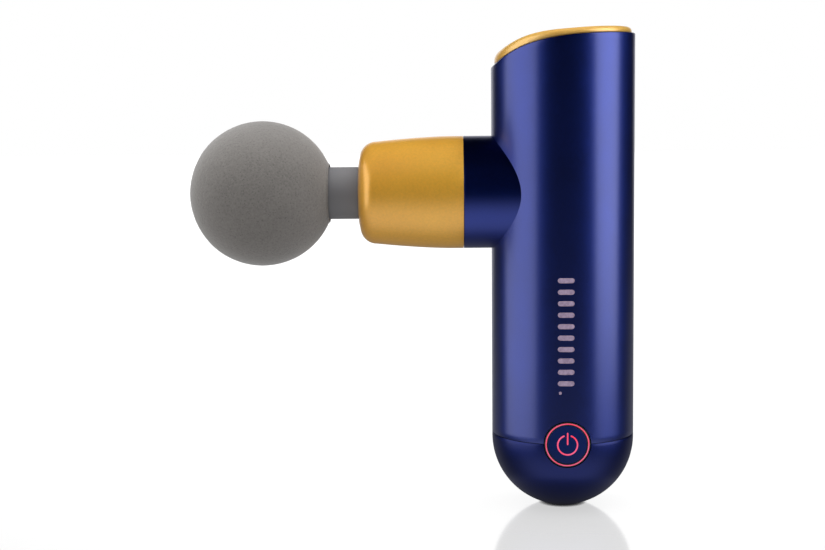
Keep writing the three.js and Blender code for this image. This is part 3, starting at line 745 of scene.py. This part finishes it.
def surface_piece(name, rows, mat, lift, depth, close_rows=False, edge=0.0):
    """A thin closed piece laid on the handle. rows are lists of (x, z) from one side to the other; the piece
    stands lift above the handle's surface and reaches depth below it. edge lowers its two outer lines."""
    columns = len(rows[0])
    top, bottom = [], []
    for row in rows:
        for j, (x, z) in enumerate(row):
            drop = edge if j in (0, columns - 1) else 0.0
            top.append((x, handle_depth(x, z, lift - drop), z))
            bottom.append((x, handle_depth(x, z, -depth), z))
    count, offset = len(rows), len(top)
    faces = grid_faces(count, columns, close_rows)
    faces += [tuple(offset + i for i in f[::-1]) for f in grid_faces(count, columns, close_rows)]
    last = count if close_rows else count - 1
    for i in range(last):
        k = (i + 1) % count
        for j in (0, columns - 1):
            a, b = i * columns + j, k * columns + j
            faces.append((a, b, offset + b, offset + a))
    if not close_rows:
        for i in (0, count - 1):
            for j in range(columns - 1):
                a, b = i * columns + j, i * columns + j + 1
                faces.append((a, b, offset + b, offset + a))
    return add_mesh(name, top + bottom, faces, mat, 40)


def band(path, half_width, closed=False, across=5):
    """Rows across a path of (x, z) points. An open path gets round ends."""
    points = [Vector(p) for p in path]
    count = len(points)
    rows = []

    def row(point, direction, half):
        side = Vector((-direction.y, direction.x))
        return [tuple(point + side * half * s) for s in np.linspace(-1, 1, across)]

    directions = []
    for i in range(count):
        before = points[i - 1] if closed or i else points[i]
        after = points[(i + 1) % count] if closed or i < count - 1 else points[i]
        directions.append((after - before).normalized())
    if closed:
        return [row(p, d, half_width) for p, d in zip(points, directions)]
    for a in (85, 65, 45, 25):
        r = math.radians(a)
        rows.append(row(points[0] - directions[0] * half_width * math.sin(r), directions[0],
                        half_width * math.cos(r)))
    rows += [row(p, d, half_width) for p, d in zip(points, directions)]
    for a in (25, 45, 65, 85):
        r = math.radians(a)
        rows.append(row(points[-1] + directions[-1] * half_width * math.sin(r), directions[-1],
                        half_width * math.cos(r)))
    return rows


def circle(r, x, z, start=0, end=360, steps=96):
    return [(x + r * math.cos(math.radians(a)), z + r * math.sin(math.radians(a)))
            for a in np.linspace(start, end, steps + 1)]


def button_face():
    """Dark round face, hollow behind, that follows the handle's surface a little below it."""
    flat_rings = 26
    rings = [*np.linspace(0, FACE_R - 0.25 * MM, flat_rings), FACE_R - 0.12 * MM, FACE_R - 0.03 * MM, FACE_R]
    sinks = [0.0] * flat_rings + [0.02 * MM, 0.08 * MM, 0.2 * MM]
    back_y, pin_r, pin_y = -21.1 * MM, 2.4 * MM, -20.9 * MM
    angles = np.radians(np.linspace(0, 360, SMALL_AROUND, endpoint=False))
    verts = []
    for r, sink in zip(rings, sinks):
        for a in angles:
            x, z = r * math.cos(a), BUTTON_Z + r * math.sin(a)
            verts.append((x, handle_depth(x, z, -FACE_SINK - sink), z))
    for r, y in [(FACE_R, back_y), (pin_r, back_y), (pin_r, pin_y), (0, pin_y)]:
        verts += [(r * math.cos(a), y, BUTTON_Z + r * math.sin(a)) for a in angles]
    faces = grid_faces(len(rings) + 4, SMALL_AROUND, close_columns=True)
    return place(add_mesh("button_face", verts, faces, FACE_NAVY), "button", "button_navy", "button_cap")


def button_lights():
    """A lit line in a dark carrier round the button, and a lit power sign on its face."""
    ring_path = circle(LIT_RING_R, 0, BUTTON_Z)[:-1]
    carrier = surface_piece("ring_carrier", band(ring_path, 0.47 * MM, closed=True, across=7), DARK_PLASTIC,
                            -0.09 * MM, 2.2 * MM, close_rows=True, edge=0.05 * MM)
    place(carrier, "housing", "dark_plastic", "button_ring")
    ring = surface_piece("light_ring", band(ring_path, 0.17 * MM, closed=True, across=7), RED_LIGHT,
                         LIT_LIFT, 0.2 * MM, close_rows=True, edge=0.05 * MM)
    place(ring, "housing", "red_light")

    arc_path = circle(3.1 * MM, 0, BUTTON_Z - 0.03 * MM, 112, 428, 64)
    bar_path = [(0, BUTTON_Z + t * MM) for t in np.linspace(0.25, 3.7, 9)]
    for name, path in (("power_sign_ring", arc_path), ("power_sign_bar", bar_path)):
        sign = surface_piece(name, band(path, 0.24 * MM), RED_LIGHT, LIT_LIFT - FACE_SINK, 0.5 * MM)
        place(sign, "button", "red_light")


def printed_scale():
    """A generic printed level scale: solid bars in a row, with a dot at its foot."""
    mid_x, reach, top, pitch, count = -0.5 * MM, 1.8 * MM, 75.6 * MM, 3.6 * MM, 10
    marks = []
    for i in range(count):
        path = [(mid_x + t * reach, top - i * pitch) for t in np.linspace(-1, 1, 9)]
        marks.append((f"scale_mark_{i + 1}", path, 0.8 * MM))
    dot = [(mid_x - reach, top - count * pitch + t * MM) for t in (0.5, 0.65)]
    marks.append(("scale_dot", dot, 0.45 * MM))
    for name, path, half_width in marks:
        mark = surface_piece(name, band(path, half_width), PRINT, PRINT_LIFT, 0.1 * MM)
        place(mark, "housing", "navy_anodised")


# ---- Stage, light and camera ----

def stage():
    """The floor and what belongs to it. Returns the floor."""
    half = 4
    corners = [(-half, -half, 0), (half, -half, 0), (half, half, 0), (-half, half, 0)]
    floor = add_mesh("floor", corners, [(0, 1, 2, 3)], stage_white())
    floor.visible_glossy = False  # what the satin metal mirrors is set by the world
    # Only what the metal mirrors meets this disc: the ground under the dome lies in its shade.
    rim = [(x, y, -0.2 * MM) for x, y in circle(SHADE_R, 0, 0)[:-1]]
    shade = add_mesh("ground_shade", rim, [tuple(range(len(rim)))], ground_shade())
    shade.visible_camera = shade.visible_diffuse = shade.visible_shadow = False
    return floor


def studio():
    """What surrounds the stage: white behind the object, a dark room elsewhere, and in front the light that
    a white floor throws up."""
    world = bpy.data.worlds.new("studio")
    bpy.context.scene.world = world
    world.use_nodes = True
    tree = world.node_tree

    def fade(socket, start, end, low, high):
        inputs = {"Value": socket, "From Min": start, "From Max": end, "To Min": low, "To Max": high}
        return add_node(tree, "ShaderNodeMapRange", inputs, interpolation_type="SMOOTHSTEP").outputs["Result"]

    def times(a, b):
        return add_node(tree, "ShaderNodeMath", {0: a, 1: b}, operation="MULTIPLY").outputs[0]

    direction = add_node(tree, "ShaderNodeTexCoord", {}).outputs["Generated"]
    split = add_node(tree, "ShaderNodeSeparateXYZ", {"Vector": direction})
    y, z = split.outputs["Y"], split.outputs["Z"]
    behind = times(fade(y, 0.82, 0.97, DARK_ROOM, BEHIND_LIGHT), fade(z, -0.3, 0.05, 0.22, 1.0))
    bounce = times(fade(z, -0.02, -0.75, 0.0, BELOW_LIGHT), fade(y, 0.25, -0.45, 0.22, 1.0))
    low_band = times(fade(z, -0.04, -0.22, 0.0, FAR_FLOOR_LIGHT), fade(z, -0.75, -0.45, 0.0, 1.0))
    far_floor = times(low_band, fade(y, 0.3, 0.75, 0.0, 1.0))
    seen = add_node(tree, "ShaderNodeLightPath", {}).outputs["Is Camera Ray"]  # the backdrop is white
    strength = behind
    for other in (bounce, far_floor, seen):
        strength = add_node(tree, "ShaderNodeMath", {0: strength, 1: other}, operation="MAXIMUM").outputs[0]
    tree.links.new(strength, tree.nodes["Background"].inputs["Strength"])
    tree.nodes["Background"].inputs["Color"].default_value = (1, 1, 1, 1)


def box_light(name, location, target, size, radiance):
    """A soft box of that size whose face has that radiance."""
    data = bpy.data.lights.new(name, "AREA")
    data.shape = "RECTANGLE"
    data.size, data.size_y = size
    data.energy = radiance * math.pi * size[0] * size[1]
    obj = bpy.data.objects.new(name, data)
    bpy.context.scene.collection.objects.link(obj)
    obj.location = location
    obj.rotation_euler = (Vector(target) - Vector(location)).to_track_quat("-Z", "Y").to_euler()
    return obj


def lights(floor):
    """Two boxes beside the object that the floor doesn't mirror, and a large one above."""
    middle = (-0.03, 0, 0.08)
    left = box_light("left_box", (-0.85, -0.2, 0.25), middle, (1.1, 1.0), 1.4)
    right = box_light("right_box", (0.8, -0.27, 0.36), middle, (0.76, 1.0), 2.2)
    unlit = bpy.data.collections.new("not_lit_by_the_boxes")
    unlit.objects.link(floor)
    unlit.collection_objects[0].light_linking.link_state = "EXCLUDE"
    left.light_linking.receiver_collection = right.light_linking.receiver_collection = unlit
    top = box_light("top_box", (0, 0, 1.1), (0, 0, 0), (2.2, 1.8), 2.65)
    top.visible_glossy = False  # the metal's upper sides mirror the dark room


def camera():
    """The view's direction, distance and lens; the aim is on the handle's mid-plane."""
    yaw, pitch, roll = (math.radians(a) for a in (-1.27, 5.98, -0.52))
    distance, lens = 0.52, 69.68
    aim = Vector((-48.77 * MM, 0, 75.32 * MM))
    forward = Vector((math.sin(yaw) * math.cos(pitch), math.cos(yaw) * math.cos(pitch), -math.sin(pitch)))
    right = Vector((math.cos(yaw), -math.sin(yaw), 0))
    up = right.cross(forward)
    right, up = (right * math.cos(roll) + up * math.sin(roll), up * math.cos(roll) - right * math.sin(roll))
    data = bpy.data.cameras.new("camera")
    data.lens, data.sensor_width, data.clip_start = lens, 36, 0.01
    obj = bpy.data.objects.new("camera", data)
    bpy.context.scene.collection.objects.link(obj)
    turn = Matrix((right, up, -forward)).transposed()
    obj.matrix_world = Matrix.Translation(aim - forward * distance) @ turn.to_4x4()
    bpy.context.scene.camera = obj


dress_cad_nodes()
camera()
floor = stage()
studio()
lights(floor)
handle_tube()
handle_dome()
charging_socket()
lid()
collar()
nose()
ball()
stem()
o_ring()
button_face()
button_lights()
printed_scale()

bpy.context.scene.view_settings.view_transform = "Standard"
